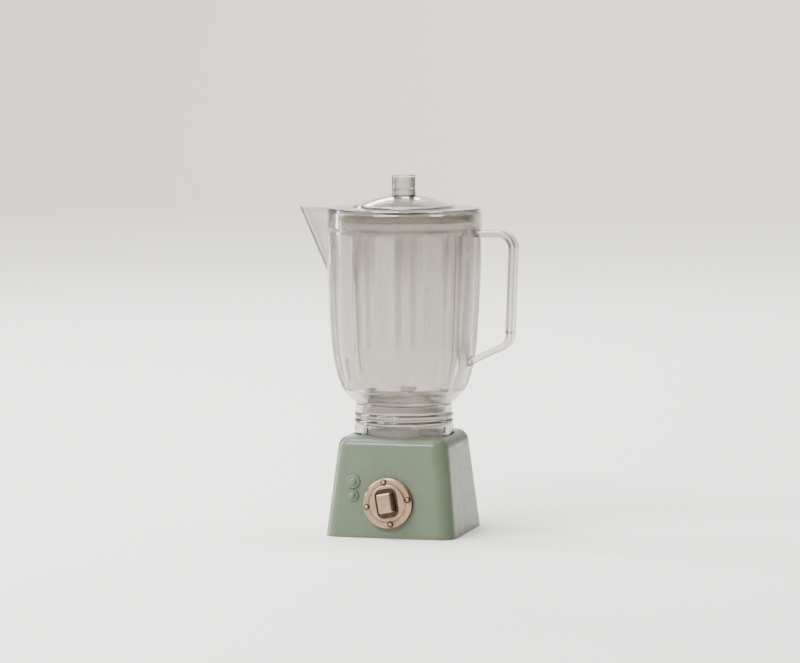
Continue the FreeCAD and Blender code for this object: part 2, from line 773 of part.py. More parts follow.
spout_top = "rim_height + spout_rise"
spout_spread = "(shoulder_radius - spout_inset)"
lofted(jug, "AdditiveLoft", "spout",
       spout_section("spout_low", spout_foot, "shoulder_radius - spout_foot_inset",
                     "spout_foot_spread", "shoulder_radius - spout_foot_stand",
                     "spout_blunt", "spout_nose"),
       spout_section("spout_high", spout_top, spout_spread, spout_spread,
                     spout_reach + " - spout_blunt", "spout_nose_half", "spout_nose"))
trim = outline(new_sketch(jug, "spout_trim_outline"), [
    ("band_stand + wall_thick - " + band_radius, "rim_height"),
    ("wall_thick", "rim_height"),
    ("wall_thick", "rim_height + 4 * spout_rise"),
    ("-wall_thick - " + spout_reach, "rim_height + 4 * spout_rise"),
    ("-wall_thick - " + spout_reach, spout_top),
    ("spout_blunt - " + spout_reach, "rim_height + spout_rise * 0.97"),
])
feature(jug, "Pocket", "spout_trim", trim, Length="4 * shoulder_radius", Midplane=True)
floor_top = "(%s - neck_depth + floor_thick)" % collar_top
cavity = outline(new_sketch(jug, "cavity_profile"), [
    ("0", floor_top),
    ("foot_radius - floor_inset", floor_top, "floor_bow"),
    ("foot_radius - heel_inset", collar_top + " + heel_rise", "bowl_bow - wall_thick"),
    ("bowl_radius - wall_thick * 0.87", "bowl_height + wall_thick / 2", "belly_bow - wall_thick"),
    ("belly_radius - wall_thick", "belly_height", "side_bow - wall_thick"),
    ("shoulder_radius - wall_thick", shoulder_height),
    ("shoulder_radius - wall_thick", "rim_height + 2 * wall_thick"),
    ("0", "rim_height + 2 * wall_thick"),
])
turned(jug, "Groove", "jug_cavity", cavity)
lofted(jug, "SubtractiveLoft", "spout_channel",
       spout_section("channel_low", spout_foot, "shoulder_radius - channel_inset",
                     "channel_foot_spread", "shoulder_radius - channel_foot_stand",
                     "channel_half", "channel_nose"),
       spout_section("channel_high", spout_top, spout_spread + " - spout_wall * 0.78",
                     spout_spread + " - spout_wall", spout_reach + " - spout_blunt - spout_wall",
                     "channel_half", "channel_nose"))

# Handle: clear strip bent in a D, its ends shaped to the jug's wall
strip = new_body("handle_strip")
arm_corner = handle_reach + " - handle_bend"
low_arm = "handle_bottom + handle_rise"
strip_profile = outline(new_sketch(strip, "strip_outline"), [
    ("shoulder_radius - handle_sink", handle_top),
    (arm_corner, handle_top, "-handle_bend"),
    (handle_reach, handle_top + " - handle_bend"),
    (handle_reach + " - handle_lean", low_arm + " + handle_bend - handle_edge", "-handle_bend"),
    (arm_corner, low_arm + " - handle_thick / 2"),
    (belly_middle + " - edge_break", "handle_bottom - handle_thick / 2"),
    (belly_middle + " - edge_break", "handle_bottom + handle_thick / 2"),
    (arm_corner + " - edge_break", low_arm + " + handle_thick / 2", "handle_bend - handle_thick"),
    (handle_reach + " - handle_lean - handle_thick", low_arm + " + handle_bend - edge_break"),
    (handle_reach + " - handle_thick", handle_top + " - handle_bend", "handle_bend - handle_thick"),
    (arm_corner, handle_top + " - handle_thick"),
    ("shoulder_radius - handle_sink", handle_top + " - handle_thick"),
])
strip_pad = feature(strip, "Pad", "strip_pad", strip_profile, Length="handle_width", Midplane=True)
rounded(strip, "strip_edges", strip_pad,
        lambda e: abs(abs(e.BoundBox.YMin) - number("handle_width / 2")) < 1e-4
        and abs(e.BoundBox.YMax - e.BoundBox.YMin) < 1e-4
        and e.BoundBox.XMax > number("belly_radius"),
        "handle_edge")
handle = doc.addObject("Part::Cut", "jug_handle")
handle.Label = "jug_handle"
handle.Base = strip
handle.Tool = jug
checked(handle)

# Lid: flange on the rim, plug ring inside it, low dome with a flat seat for the knob
lid = new_body("lid")
plug_radius = "(shoulder_radius - wall_thick - plug_clearance)"
lid_top = "(rim_height + step_height + dome_rise)"
turned(lid, "Revolution", "lid_turned", outline(new_sketch(lid, "lid_profile"), [
    (plug_radius + " - lid_wall", "rim_height - plug_depth"),
    (plug_radius, "rim_height - plug_depth"),
    (plug_radius, "rim_height"),
    (flange_radius, "rim_height"),
    (flange_radius, "rim_height + flange_thick - edge_break"),
    (flange_radius + " - edge_break", "rim_height + flange_thick"),
    ("step_radius + step_slope", "rim_height + flange_thick + flange_rise"),
    ("step_radius", "rim_height + step_height - edge_break"),
    ("step_radius - rim_break", "rim_height + step_height"),
    ("step_radius - dome_inset", "rim_height + step_height", "dome_bow"),
    ("knob_radius + knob_seat_stand", lid_top),
    ("knob_peg_radius", lid_top),
    ("knob_peg_radius", lid_top + " - lid_wall"),
    ("knob_radius + knob_seat_stand", lid_top + " - lid_wall", "-(dome_bow - lid_wall)"),
    ("step_radius - dome_inset - edge_break", "rim_height + step_height - lid_wall"),
    (plug_radius + " - lid_wall", "rim_height - flange_rise"),
]))

knob = new_body("lid_knob")
turned(knob, "Revolution", "knob_turned", outline(new_sketch(knob, "knob_profile"), [
    ("0", lid_top + " - lid_wall"),
    ("knob_peg_radius", lid_top + " - lid_wall"),
    ("knob_peg_radius", lid_top),
    ("knob_radius", lid_top),
    ("knob_radius", lid_top + " + knob_groove_up"),
    ("knob_radius - knob_groove_depth", lid_top + " + knob_groove_up + knob_groove_height / 3"),
    ("knob_radius - knob_groove_depth", lid_top + " + knob_groove_up + knob_groove_height / 1.5"),
    ("knob_radius", lid_top + " + knob_groove_up + knob_groove_height"),
    ("knob_radius", lid_top + " + knob_height - knob_edge", "knob_edge"),
    ("knob_radius - knob_edge", lid_top + " + knob_height"),
    ("0", lid_top + " + knob_height"),
]))

# Check every object, then write one file for each named piece
doc.recompute()
for item in doc.Objects:
    if "Invalid" in item.State or "Error" in item.State:
        raise ValueError("%s is %s" % (item.Name, item.State))
pieces = [
    housing, plate, screws, disc, grip, rivets, spindle, washer, clip, collar, jug, handle, lid, knob]
for piece in pieces:
    shape = piece.Shape
    if shape.isNull() or not shape.isValid():
        raise ValueError("no valid shape for " + piece.Label)
    shape.exportStep("parts/%s.step" % piece.Label)
    print("%-14s %9.3f mm3  %d solids" % (piece.Label, shape.Volume, len(shape.Solids)))
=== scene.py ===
import math

import bmesh
import bpy
from bpy.props import FloatProperty, FloatVectorProperty, PointerProperty
from mathutils import Matrix, Vector


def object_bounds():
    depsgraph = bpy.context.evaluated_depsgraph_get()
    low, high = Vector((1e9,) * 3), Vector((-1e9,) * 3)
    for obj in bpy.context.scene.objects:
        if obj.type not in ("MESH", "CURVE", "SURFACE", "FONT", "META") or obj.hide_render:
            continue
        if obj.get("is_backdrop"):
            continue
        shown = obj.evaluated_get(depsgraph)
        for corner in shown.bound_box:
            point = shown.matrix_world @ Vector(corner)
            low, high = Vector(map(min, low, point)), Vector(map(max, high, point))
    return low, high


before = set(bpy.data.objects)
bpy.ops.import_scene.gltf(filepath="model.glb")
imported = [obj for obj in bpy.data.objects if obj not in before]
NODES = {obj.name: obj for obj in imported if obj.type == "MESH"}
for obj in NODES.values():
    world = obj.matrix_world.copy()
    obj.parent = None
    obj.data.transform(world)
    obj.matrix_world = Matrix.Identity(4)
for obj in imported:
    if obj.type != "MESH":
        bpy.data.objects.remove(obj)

bl_info = {
    "name": "Toy Blender Dressing",
    "version": (1, 0, 0),
    "blender": (4, 5, 0),
    "location": "View3D > Sidebar > Toy Blender",
    "description": "Dresses a small toy blender with paint, copper and clear plastic, and sets its stage",
    "category": "Object",
}

MILLIMETRE = 0.001

# The photograph's frame and the camera that it was taken with
FRAME_WIDTH_PX = 800
FRAME_HEIGHT_PX = 663
AXIS_X_PX = 404.0
MIDDLE_Y_PX = 353.0
FOCAL_PX = 3840.0
SENSOR_WIDTH_MM = 36.0
CLIP_START = 0.01
CLIP_END = 20.0

# The dial's own frame on the sloping front: centre, lean of the face and turn
DIAL_CENTRE = (0.0, -0.013044, 0.0073)
DIAL_LEAN = math.radians(90.0 - 6.3)
DIAL_TURN = math.radians(11.2)

# The dial's shape, as the CAD has it
DIAL_RADIUS_MM = 5.2
PLATEAU_RADIUS_MM = 3.85
RECESS_HALF_MM = (2.35, 3.05)
RECESS_ROUND_MM = 1.5
RECESS_FLOOR_MM = 1.05
RIVET_RING_MM = 4.42
RIVET_RADIUS_MM = 0.5

# Patina on the dial, with painted shade in its hollows and painted shadow on its rim's wall and the
# step's foot: each pair runs from where it is nought to where it is full
RECESS_OUTLINE_FADE_MM = (0.12, -0.05)
RECESS_HEIGHT_FADE_MM = (0.6, 0.15)
RIVET_OUTER_FADE_MM = (0.34, 0.06)
RIVET_INNER_FADE_MM = (-0.28, -0.08)
# Painted shadow along the dial's rim wall, and painted shade at the step's foot
RIM_WALL_FADE_MM = (0.75, 0.15)
STEP_FOOT_OUT_MM = 0.12
STEP_FOOT_FADE_MM = (0.26, 0.05)
STEP_FOOT_SHARE = 0.55

# Rubbed edges of the dial, lighter both from wear and as a painted highlight: how far in from the edge,
# and the fade on either side
RIM_RUB_HIGHLIGHT_IN_MM = 0.2
RIM_RUB_HIGHLIGHT_FADE_MM = (0.22, 0.1)
STEP_RUB_HIGHLIGHT_IN_MM = 0.15
STEP_RUB_HIGHLIGHT_FADE_MM = (0.22, 0.08)
RUB_AND_HIGHLIGHT_SHARE = 0.6

# Copper: grains, and shades of the base colour
COPPER_PATCH_MM = 1.4
COPPER_GRAIN_MM = 0.3
COPPER_PIT_MM = 0.12
COPPER_SHADES = (0.72, 1.12)
COPPER_RUB_AND_HIGHLIGHT_SHADE = 1.3
COPPER_ROUGHNESS_SWING = 0.08
# Least share of the patina and painted shade where the grain thins it
PATINA_AND_SHADE_LEAST = 0.72

# Paint: grains, shades of the base colour, and the rubbed strip along the lowest edge
PAINT_CLOUD_MM = 6.0
PAINT_GLOSS_MM = 1.6
PAINT_PEEL_MM = 0.55
PAINT_SPECK_MM = 0.35
PAINT_SHADES = (0.95, 1.05)
PAINT_RUBBED_SHADE = 0.55
PAINT_RUB_HEIGHT_MM = (0.9, 0.15)
PAINT_SPECK_STEP = (0.5, 0.62)
PAINT_SMOOTHER = 0.05
PAINT_ROUGHER = 0.07
PAINT_COAT = 0.22
PAINT_COAT_ROUGHNESS = 0.16
PAINT_SPECULAR = 0.22
PAINT_IOR = 1.5

# Clear plastic: grains, scuffs, and how much rougher its rubbed parts are
CLEAR_IOR = 1.49
CLEAR_RUB_MM = 2.2
CLEAR_SCUFF_MM = 0.5
CLEAR_RIPPLE_MM = 5.0
CLEAR_RUB_ROUGHNESS = 0.09
SCUFF_STRETCH = (1.0, 1.0, 0.3)
SCUFF_STEP = (0.60, 0.72)
SCUFF_SHARE = 0.10
RIPPLE_STRETCH = (1.0, 1.0, 0.25)
JUG_HAZE = 0.05
TRIM_HAZE = 0.07

# The jug's flutes and the lands between them
FLUTES = 10
FLUTE_TOP_MM = 62.7
FLUTE_TOP_SOFT_MM = 0.6
FLUTE_FADE_MM = 33.0
FLUTE_FADE_HEIGHT_MM = 6.0
LAND_WAVE_STEP = (-0.05, -0.45)
LAND_RADIUS_STEP_MM = (14.9, 15.0)
LAND_LEAST = 0.75
LAND_ROUGHNESS = 0.16

# Steel and washer: grain, shades and swing of the roughness
STEEL_GRAIN_MM = 0.5
STEEL_SHADES = (0.86, 1.1)
STEEL_ROUGHNESS_SWING = 0.14
PLATE_ROUGHNESS = 0.38
PLATE_ROLLED_STRETCH = (0.12, 1.0, 1.0)
SMALL_STEEL_ROUGHNESS = 0.3
WASHER_GRAIN_MM = 0.4
WASHER_COLOURS = ((0.66, 0.65, 0.60), (0.74, 0.73, 0.69))
WASHER_ROUGHNESS = (0.5, 0.62)

# Floor: its fold, and the painted shade that darkens it towards both sides
FLOOR_BACK_SHARE = 0.9
FLOOR_FOLD_HEIGHT = 0.01
SWEEP_SEGMENTS = 24
FLOOR_SIDE_FADE = (0.28, 0.90)
FLOOR_SIDE_SHADE = 0.40
FLOOR_ROUGHNESS = 0.85

# Room and lights: name, place, the point that it faces, width and height, power
ROOM_COLOUR = (0.88, 0.86, 0.83)
ROOM_STRENGTH = 0.12
TOY_MIDDLE = (0.0, 0.0, 0.04)
SWEEP_MIDDLE = (0.0, 1.5, 0.3)
LIGHTS = (
    ("key_light", (-0.42, -0.36, 0.50), TOY_MIDDLE, (0.22, 0.22), 4.0),
    ("front_light", (-0.20, -0.80, 0.16), TOY_MIDDLE, (0.30, 0.16), 0.5),
    ("brow_light", (-0.17, -0.54, 0.54), TOY_MIDDLE, (0.30, 0.12), 6.0),
    ("top_light", (-0.17, -0.10, 0.72), TOY_MIDDLE, (0.26, 0.26), 4.5),
    ("strip_light", (-0.48, 0.10, 0.24), TOY_MIDDLE, (0.05, 0.50), 3.0),
    ("rim_light", (-0.24, 0.60, 0.40), TOY_MIDDLE, (0.30, 0.06), 2.0),
    ("sweep_light", (0.0, 0.40, 1.30), SWEEP_MIDDLE, (1.2, 0.8), 50.0),
)


class ToyBlenderFinish(bpy.types.PropertyGroup):
    """Colours and roughness of the toy's finishes."""

    paint: FloatVectorProperty(
        name="Paint", description="Colour of the painted base", subtype="COLOR",
        size=3, min=0.0, max=1.0, default=(0.100, 0.130, 0.084))
    paint_roughness: FloatProperty(
        name="Paint roughness", description="How matt the base paint is",
        subtype="FACTOR", min=0.0, max=1.0, default=0.36)
    copper: FloatVectorProperty(
        name="Copper", description="Colour of the dial's metal", subtype="COLOR",
        size=3, min=0.0, max=1.0, default=(0.40, 0.275, 0.178))
    # Dark colour of the dial's hollows: its patina, and also painted shade in the hollows and painted
    # shadow on the rim's wall
    patina_and_shade: FloatVectorProperty(
        name="Patina", description="Colour of the dark hollows of the dial", subtype="COLOR",
        size=3, min=0.0, max=1.0, default=(0.040, 0.026, 0.018))
    copper_roughness: FloatProperty(
        name="Copper roughness", description="How matt the dial is",
        subtype="FACTOR", min=0.0, max=1.0, default=0.42)
    clear: FloatVectorProperty(
        name="Clear plastic", description="Tint of the clear plastic", subtype="COLOR",
        size=3, min=0.0, max=1.0, default=(0.58, 0.55, 0.515))
    clear_haze: FloatProperty(
        name="Haze", description="Share of light that the clear plastic scatters",
        subtype="FACTOR", min=0.0, max=1.0, default=0.03)
    land_haze: FloatProperty(
        name="Land haze", description="Extra scatter on the lands between the flutes",
        subtype="FACTOR", min=0.0, max=1.0, default=0.26)
    steel: FloatVectorProperty(
        name="Steel", description="Colour of the cover plate, screws, spindle and clip",
        subtype="COLOR", size=3, min=0.0, max=1.0, default=(0.52, 0.52, 0.51))


class ToyBlenderStage(bpy.types.PropertyGroup):
    """Floor and camera."""

    floor_half: FloatProperty(
        name="Floor", description="Half the width of the floor", unit="LENGTH", default=1.8)
    sweep: FloatProperty(
        name="Sweep", description="Radius of the sweep behind", unit="LENGTH", default=0.6)
    floor_colour: FloatVectorProperty(
        name="Floor colour", description="Colour of the plain floor", subtype="COLOR",
        size=3, min=0.0, max=1.0, default=(0.84, 0.815, 0.78))
    azimuth: FloatProperty(
        name="Azimuth", description="Camera's turn round the toy", unit="ROTATION",
        default=math.radians(14.2))
    elevation: FloatProperty(
        name="Elevation", description="Camera's height above the horizon", unit="ROTATION",
        default=math.radians(5.22))
    distance: FloatProperty(
        name="Distance", description="Camera to the jug's axis", unit="LENGTH", default=0.805)


# Shader building blocks

def new_material(name):
    """Material, its tree with an output and one principled shader, the shader, and Object place."""
    material = bpy.data.materials.new(name)
    material.use_nodes = True
    tree = material.node_tree
    tree.nodes.clear()
    output = tree.nodes.new("ShaderNodeOutputMaterial")
    output.location = (700, 0)
    shader = tree.nodes.new("ShaderNodeBsdfPrincipled")
    shader.location = (400, 0)
    tree.links.new(shader.outputs["BSDF"], output.inputs["Surface"])
    place = tree.nodes.new("ShaderNodeTexCoord")
    place.location = (-900, 0)
    return material, tree, shader, place.outputs["Object"]


def feed(tree, value, socket):
    """Link a socket, or set a plain number or triple, unless there is none."""
    if isinstance(value, (int, float, tuple)):
        socket.default_value = value
    elif value is not None:
        tree.links.new(value, socket)


def split(tree, vector):
    """The three parts of a vector."""
    parts = tree.nodes.new("ShaderNodeSeparateXYZ")
    tree.links.new(vector, parts.inputs["Vector"])
    return parts.outputs["X"], parts.outputs["Y"], parts.outputs["Z"]


def maths(tree, operation, first, second=None, clamp=False):
    """Math node on sockets or plain values."""
    node = tree.nodes.new("ShaderNodeMath")
    node.operation = operation
    node.use_clamp = clamp
    feed(tree, first, node.inputs[0])
    feed(tree, second, node.inputs[1])
    return node.outputs["Value"]


def vector_maths(tree, operation, first, second=None):
    """Vector math node on sockets or plain triples."""
    node = tree.nodes.new("ShaderNodeVectorMath")
    node.operation = operation
    feed(tree, first, node.inputs[0])
    feed(tree, second, node.inputs[1])
    return node.outputs["Value" if operation == "LENGTH" else "Vector"]


def noise(tree, vector, grain_mm, detail=4.0, roughness=0.55, stretch=None):
    """Noise with a grain of that many millimetres, stretched along an axis if asked."""
    if stretch is not None:
        mapping = tree.nodes.new("ShaderNodeMapping")
        mapping.inputs["Scale"].default_value = stretch
        tree.links.new(vector, mapping.inputs["Vector"])
        vector = mapping.outputs["Vector"]
    texture = tree.nodes.new("ShaderNodeTexNoise")
    texture.inputs["Scale"].default_value = 1.0 / (grain_mm * MILLIMETRE)
    texture.inputs["Detail"].default_value = detail
    texture.inputs["Roughness"].default_value = roughness
    tree.links.new(vector, texture.inputs["Vector"])
    return texture.outputs["Fac"]


def spread(tree, value, low, high, start=0.3, end=0.7):
    """Value mapped from the noise's middle range to low and high."""
    ranged = tree.nodes.new("ShaderNodeMapRange")
    ranged.inputs["From Min"].default_value = start
    ranged.inputs["From Max"].default_value = end
    ranged.inputs["To Min"].default_value = low
    ranged.inputs["To Max"].default_value = high
    tree.links.new(value, ranged.inputs["Value"])
    return ranged.outputs["Result"]


def soft_step(tree, value, start, end):
    """Nought at the start and one at the end, smooth between; either may be the higher."""
    ranged = tree.nodes.new("ShaderNodeMapRange")
    ranged.interpolation_type = "SMOOTHSTEP"
    ranged.inputs["From Min"].default_value = start
    ranged.inputs["From Max"].default_value = end
    tree.links.new(value, ranged.inputs["Value"])
    return ranged.outputs["Result"]


def near(tree, value, middle, fade):
    """One at a value, and nought away from it on either side."""
    away = maths(tree, "ABSOLUTE", maths(tree, "SUBTRACT", value, middle))
    return soft_step(tree, away, *fade)


def blend_colours(tree, factor, first, second):
    """Colour between two by a factor; the first may be a socket."""
    mix = tree.nodes.new("ShaderNodeMix")
    mix.data_type = "RGBA"
    if isinstance(first, tuple):
        first = (*first, 1.0)
    feed(tree, first, mix.inputs["A"])
    feed(tree, (*second, 1.0), mix.inputs["B"])
    tree.links.new(factor, mix.inputs["Factor"])
    return mix.outputs["Result"]


def shade(colour, factor):
    """Colour made lighter or darker."""
    return tuple(min(1.0, max(0.0, c * factor)) for c in colour)


def mottle(tree, grain, base, shades):
    """Base colour between two of its shades, by a grain."""
    darker, lighter = shades
    return blend_colours(tree, spread(tree, grain, 0.0, 1.0), shade(base, darker), shade(base, lighter))


def add_bump(tree, shader, height, depth_mm, strength):
    """Bump of a real depth in millimetres."""
    bump = tree.nodes.new("ShaderNodeBump")
    bump.inputs["Strength"].default_value = strength
    bump.inputs["Distance"].default_value = depth_mm * MILLIMETRE
    tree.links.new(height, bump.inputs["Height"])
    tree.links.new(bump.outputs["Normal"], shader.inputs["Normal"])


# Finishes

def paint_material(finish):
    """Sprayed satin paint: faint orange peel, slight clouding, rubbed along its lowest edge."""
    material, tree, shader, place = new_material("satin_paint")
    base = tuple(finish.paint)
    colour = mottle(tree, noise(tree, place, PAINT_CLOUD_MM, detail=3.0), base, PAINT_SHADES)
    height_mm = maths(tree, "MULTIPLY", split(tree, place)[2], 1.0 / MILLIMETRE)
    low = soft_step(tree, height_mm, *PAINT_RUB_HEIGHT_MM)
    grain = noise(tree, place, PAINT_SPECK_MM, detail=6.0, roughness=0.7)
    rubbed = maths(tree, "MULTIPLY", low, soft_step(tree, grain, *PAINT_SPECK_STEP))
    colour = blend_colours(tree, rubbed, colour, shade(base, PAINT_RUBBED_SHADE))
    tree.links.new(colour, shader.inputs["Base Color"])
    gloss = noise(tree, place, PAINT_GLOSS_MM, detail=5.0)
    smooth = finish.paint_roughness - PAINT_SMOOTHER
    rough = finish.paint_roughness + PAINT_ROUGHER
    tree.links.new(spread(tree, gloss, smooth, rough), shader.inputs["Roughness"])
    shader.inputs["Coat Weight"].default_value = PAINT_COAT
    shader.inputs["Coat Roughness"].default_value = PAINT_COAT_ROUGHNESS
    shader.inputs["Specular IOR Level"].default_value = PAINT_SPECULAR
    shader.inputs["IOR"].default_value = PAINT_IOR
    peel = noise(tree, place, PAINT_PEEL_MM, detail=2.0)
    add_bump(tree, shader, peel, depth_mm=0.012, strength=0.6)
    return material


def dial_place_mm(tree, place):
    """Place in the dial's own frame, in millimetres."""
    turn = Matrix.Rotation(DIAL_LEAN, 3, "X") @ Matrix.Rotation(DIAL_TURN, 3, "Z")
    mapping = tree.nodes.new("ShaderNodeMapping")
    mapping.vector_type = "TEXTURE"
    mapping.inputs["Location"].default_value = DIAL_CENTRE
    mapping.inputs["Rotation"].default_value = turn.to_euler("XYZ")
    mapping.inputs["Scale"].default_value = (MILLIMETRE, MILLIMETRE, MILLIMETRE)
    tree.links.new(place, mapping.inputs["Vector"])
    return mapping.outputs["Vector"]


def recess_patina_and_shade(tree, folded, height):
    """One inside the recess's rounded outline, near its floor: patina and painted shade."""
    straight = (RECESS_HALF_MM[0] - RECESS_ROUND_MM, RECESS_HALF_MM[1] - RECESS_ROUND_MM, 0.0)
    beyond = vector_maths(tree, "SUBTRACT", folded, straight)
    beyond = vector_maths(tree, "MAXIMUM", beyond, (0.0, 0.0, 0.0))
    outside = maths(tree, "SUBTRACT", vector_maths(tree, "LENGTH", beyond), RECESS_ROUND_MM)
    start, end = RECESS_HEIGHT_FADE_MM
    return maths(
        tree, "MULTIPLY",
        soft_step(tree, outside, *RECESS_OUTLINE_FADE_MM),
        soft_step(tree, height, RECESS_FLOOR_MM + start, RECESS_FLOOR_MM + end))


def rivet_patina_and_shade(tree, folded):
    """One in a ring round the edge of each of the four rivets: patina and painted shade."""
    across, up, _ = split(tree, folded)
    along = maths(tree, "MAXIMUM", across, up)
    beside = maths(tree, "MINIMUM", across, up)
    squares = maths(
        tree, "ADD",
        maths(tree, "POWER", maths(tree, "SUBTRACT", along, RIVET_RING_MM), 2.0),
        maths(tree, "POWER", beside, 2.0))
    from_rivet = maths(tree, "POWER", squares, 0.5)
    rings = [
        soft_step(tree, from_rivet, RIVET_RADIUS_MM + start, RIVET_RADIUS_MM + end)
        for start, end in (RIVET_OUTER_FADE_MM, RIVET_INNER_FADE_MM)]
    return maths(tree, "MULTIPLY", *rings)


def dial_masks(tree, place):
    """Dark patina where polish can't reach, with painted shade in the hollows and painted shadow on the
    rim's wall and the step's foot, and bright rubbed edges that are partly painted highlight.
    """
    local = dial_place_mm(tree, place)
    height = split(tree, local)[2]
    flat = vector_maths(tree, "MULTIPLY", local, (1.0, 1.0, 0.0))
    radius = vector_maths(tree, "LENGTH", flat)
    folded = vector_maths(tree, "ABSOLUTE", flat)
    hollow_patina_and_shade = maths(
        tree, "MAXIMUM", recess_patina_and_shade(tree, folded, height), rivet_patina_and_shade(tree, folded))
    # Painted shade at the step's foot, and painted shadow on the rim's wall below
    foot = near(tree, radius, PLATEAU_RADIUS_MM + STEP_FOOT_OUT_MM, STEP_FOOT_FADE_MM)
    edges = maths(
        tree, "MAXIMUM",
        soft_step(tree, height, *RIM_WALL_FADE_MM), maths(tree, "MULTIPLY", foot, STEP_FOOT_SHARE))
    # Lighter rings at the rim and at the step's edge: rubbed wear, and a painted highlight
    rub_and_painted_highlight = maths(
        tree, "MAXIMUM",
        near(tree, radius, DIAL_RADIUS_MM - RIM_RUB_HIGHLIGHT_IN_MM, RIM_RUB_HIGHLIGHT_FADE_MM),
        near(tree, radius, PLATEAU_RADIUS_MM - STEP_RUB_HIGHLIGHT_IN_MM, STEP_RUB_HIGHLIGHT_FADE_MM))
    return maths(tree, "MAXIMUM", hollow_patina_and_shade, edges), rub_and_painted_highlight


def copper_material(finish):
    """Antiqued copper: dull patches, dark patina with painted shade in the hollows, painted shadow on the
    rim's wall, and rubbed edges lightened partly as painted highlight.
    """
    material, tree, shader, place = new_material("dull_copper")
    base = tuple(finish.copper)
    patch = noise(tree, place, COPPER_PATCH_MM, detail=5.0, roughness=0.6)
    colour = mottle(tree, patch, base, COPPER_SHADES)
    # Patina with painted shade and painted shadow, and rubbed edges with a painted highlight
    patina_and_painted_shade, rub_and_painted_highlight = dial_masks(tree, place)
    # Rubbed edges made lighter: wear, and a painted highlight
    rubbed = maths(tree, "MULTIPLY", rub_and_painted_highlight, RUB_AND_HIGHLIGHT_SHARE)
    colour = blend_colours(tree, rubbed, colour, shade(base, COPPER_RUB_AND_HIGHLIGHT_SHADE))
    grain = noise(tree, place, COPPER_GRAIN_MM, detail=5.0, roughness=0.7)
    patina_and_painted_shade = maths(tree, "MULTIPLY", patina_and_painted_shade, spread(tree, grain, PATINA_AND_SHADE_LEAST, 1.0))
    colour = blend_colours(tree, patina_and_painted_shade, colour, tuple(finish.patina_and_shade))
    tree.links.new(colour, shader.inputs["Base Color"])
    shader.inputs["Metallic"].default_value = 1.0
    low = finish.copper_roughness - COPPER_ROUGHNESS_SWING
    high = finish.copper_roughness + COPPER_ROUGHNESS_SWING
    tree.links.new(spread(tree, patch, high, low), shader.inputs["Roughness"])
    pits = noise(tree, place, COPPER_PIT_MM, detail=3.0)
    add_bump(tree, shader, pits, depth_mm=0.006, strength=0.7)
    return material


def land_mask(tree, place):
    """One on the raised lands between the jug's flutes, on its outer face only."""
    across, back, up = split(tree, place)
    around = maths(tree, "ARCTAN2", back, across)
    wave = maths(tree, "COSINE", maths(tree, "MULTIPLY", around, float(FLUTES)))
    land = soft_step(tree, wave, *LAND_WAVE_STEP)
    flat = vector_maths(tree, "MULTIPLY", place, (1.0 / MILLIMETRE, 1.0 / MILLIMETRE, 0.0))
    outer = soft_step(tree, vector_maths(tree, "LENGTH", flat), *LAND_RADIUS_STEP_MM)
    height = maths(tree, "MULTIPLY", up, 1.0 / MILLIMETRE)
    below = soft_step(
        tree, height, FLUTE_TOP_MM + FLUTE_TOP_SOFT_MM, FLUTE_TOP_MM - FLUTE_TOP_SOFT_MM)
    above = soft_step(tree, height, FLUTE_FADE_MM, FLUTE_FADE_MM + FLUTE_FADE_HEIGHT_MM)
    return maths(
        tree, "MULTIPLY", maths(tree, "MULTIPLY", land, outer), maths(tree, "MULTIPLY", below, above))


def clear_material(finish, name, haze, fluted=False):
    """Clear moulded plastic: faint flow ripples, light haze, scuffs, rubbed lands if fluted."""
    material, tree, shader, place = new_material(name)
    shader.inputs["Base Color"].default_value = (*finish.clear, 1.0)
    shader.inputs["IOR"].default_value = CLEAR_IOR
    rubbed = noise(tree, place, CLEAR_RUB_MM, detail=6.0, roughness=0.65)
    roughness = spread(tree, rubbed, haze, haze + CLEAR_RUB_ROUGHNESS)
    scuffs = noise(tree, place, CLEAR_SCUFF_MM, detail=6.0, roughness=0.75, stretch=SCUFF_STRETCH)
    clouded = maths(tree, "MULTIPLY", soft_step(tree, scuffs, *SCUFF_STEP), SCUFF_SHARE)
    if fluted:
        lands = maths(
            tree, "MULTIPLY", land_mask(tree, place), spread(tree, scuffs, LAND_LEAST, 1.0))
        clouded = maths(tree, "ADD", clouded, maths(tree, "MULTIPLY", lands, finish.land_haze))
        roughness = maths(tree, "ADD", roughness, maths(tree, "MULTIPLY", lands, LAND_ROUGHNESS))
    clearness = maths(tree, "SUBTRACT", 1.0 - finish.clear_haze, clouded, clamp=True)
    tree.links.new(clearness, shader.inputs["Transmission Weight"])
    tree.links.new(roughness, shader.inputs["Roughness"])
    ripple = noise(tree, place, CLEAR_RIPPLE_MM, detail=1.0, stretch=RIPPLE_STRETCH)
    add_bump(tree, shader, ripple, depth_mm=0.05, strength=0.35)
    return material


def steel_material(finish, name, roughness, stretch=None):
    """Plain steel with a rolled or turned grain."""
    material, tree, shader, place = new_material(name)
    grain = noise(tree, place, STEEL_GRAIN_MM, stretch=stretch)
    colour = mottle(tree, grain, tuple(finish.steel), STEEL_SHADES)
    tree.links.new(colour, shader.inputs["Base Color"])
    shader.inputs["Metallic"].default_value = 1.0
    uneven = spread(tree, grain, roughness, roughness + STEEL_ROUGHNESS_SWING)
    tree.links.new(uneven, shader.inputs["Roughness"])
    add_bump(tree, shader, grain, depth_mm=0.006, strength=0.5)
    return material


def washer_material():
    """Off-white moulded washer."""
    material, tree, shader, place = new_material("washer_white")
    grain = noise(tree, place, WASHER_GRAIN_MM, detail=3.0)
    colour = blend_colours(tree, spread(tree, grain, 0.0, 1.0), *WASHER_COLOURS)
    tree.links.new(colour, shader.inputs["Base Color"])
    tree.links.new(spread(tree, grain, *WASHER_ROUGHNESS), shader.inputs["Roughness"])
    add_bump(tree, shader, grain, depth_mm=0.008, strength=0.5)
    return material


